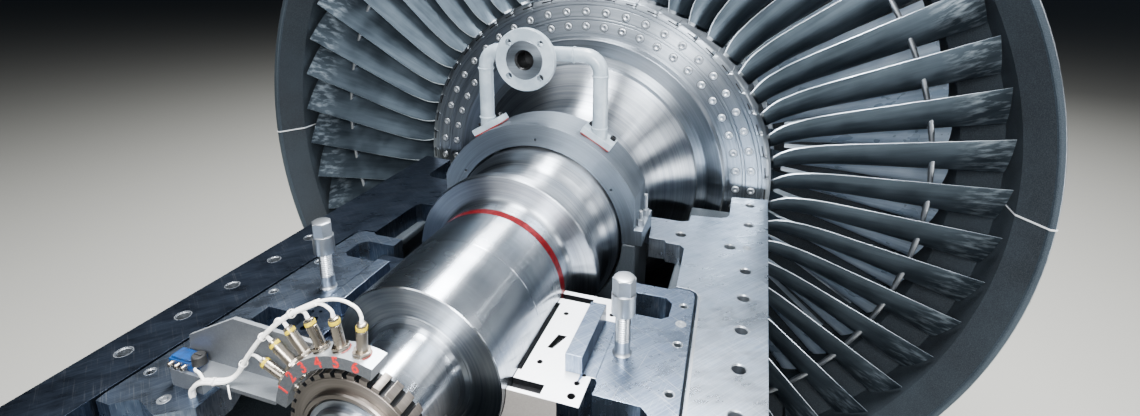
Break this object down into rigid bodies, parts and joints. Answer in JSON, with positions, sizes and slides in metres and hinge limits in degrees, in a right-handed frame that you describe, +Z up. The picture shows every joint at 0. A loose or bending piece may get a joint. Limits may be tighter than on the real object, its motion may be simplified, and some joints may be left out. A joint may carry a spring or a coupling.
{
  "type": "steam turbine rotor in opened exhaust-end housing",
  "caption": "Condensing steam turbine rotor with long twisted last-stage blades, lying in its opened bearing housing inside the exhaust casing ring.",
  "frame": {"origin": "on the floor, midway between the front of the bearing housing and the back of the coupling flange, under the rotor axis", "axes": "+Z up; +Y along the rotor axis from the exhaust end to the steam inlet end; +X to the right seen from the exhaust end"},
  "size_m": [3.048, 4.48, 3.15],
  "materials": {
    "forged_steel": "turned and polished alloy-steel forging",
    "blade_steel": "satin stainless blade steel, lightly scuffed",
    "ground_plate": "face-milled joint plane",
    "dark_plate": "oiled, darkened joint plane",
    "casting": "dark grey primed casting",
    "pipe_paint": "light grey enamel",
    "bright_steel": "turned bright steel",
    "nickel": "nickel-plated brass",
    "cable_jacket": "smooth white PVC jacket",
    "blue_plastic": "moulded blue plastic"
  },
  "bodies": {
    "housing": {"key_bar_left": "forged_steel", "key_bar_right": "forged_steel", "flange_right": "ground_plate", "bearing_frame_right": "ground_plate", "bearing_lower_half": "ground_plate", "sensor_bracket": "ground_plate", "flange_left": "dark_plate", "bearing_frame_left": "dark_plate", "casing_ring_upper": "casting", "casing_ring_lower": "casting", "diaphragm_upper": "casting", "diaphragm_lower": "casting", "gland_ring_upper": "casting", "gland_ring_lower": "casting", "housing_wall_left": "casting", "housing_wall_right": "casting", "housing_front_wall": "casting", "housing_rear_wall": "casting", "bearing_pedestal": "casting", "inlet_pedestal": "casting", "cross_beam": "casting", "front_beam": "casting", "rear_beam": "casting", "sensor_arc": "casting", "leak_off_pipe": "pipe_paint", "clamp_stud_left": "bright_steel", "clamp_stud_right": "bright_steel", "sensor_1": "nickel", "sensor_2": "nickel", "sensor_3": "nickel", "sensor_4": "nickel", "sensor_5": "nickel", "sensor_6": "nickel", "sensor_cables": "cable_jacket", "terminal_box": "blue_plastic"},
    "rotor": {"shaft_forging": "forged_steel", "toothed_wheel": "forged_steel", "last_stage_blades": "blade_steel", "second_last_blades": "blade_steel", "drum_row_1": "blade_steel", "drum_row_2": "blade_steel", "drum_row_3": "blade_steel", "drum_row_4": "blade_steel", "drum_row_5": "blade_steel", "drum_row_6": "blade_steel", "drum_row_7": "blade_steel"}
  },
  "joints": [
    {"name": "rotor_spin", "type": "hinge", "parent": "housing", "child": "rotor", "pos_m": [0, 0, 1.65], "axis": [0, 1, 0], "continuous": true}
  ]
}
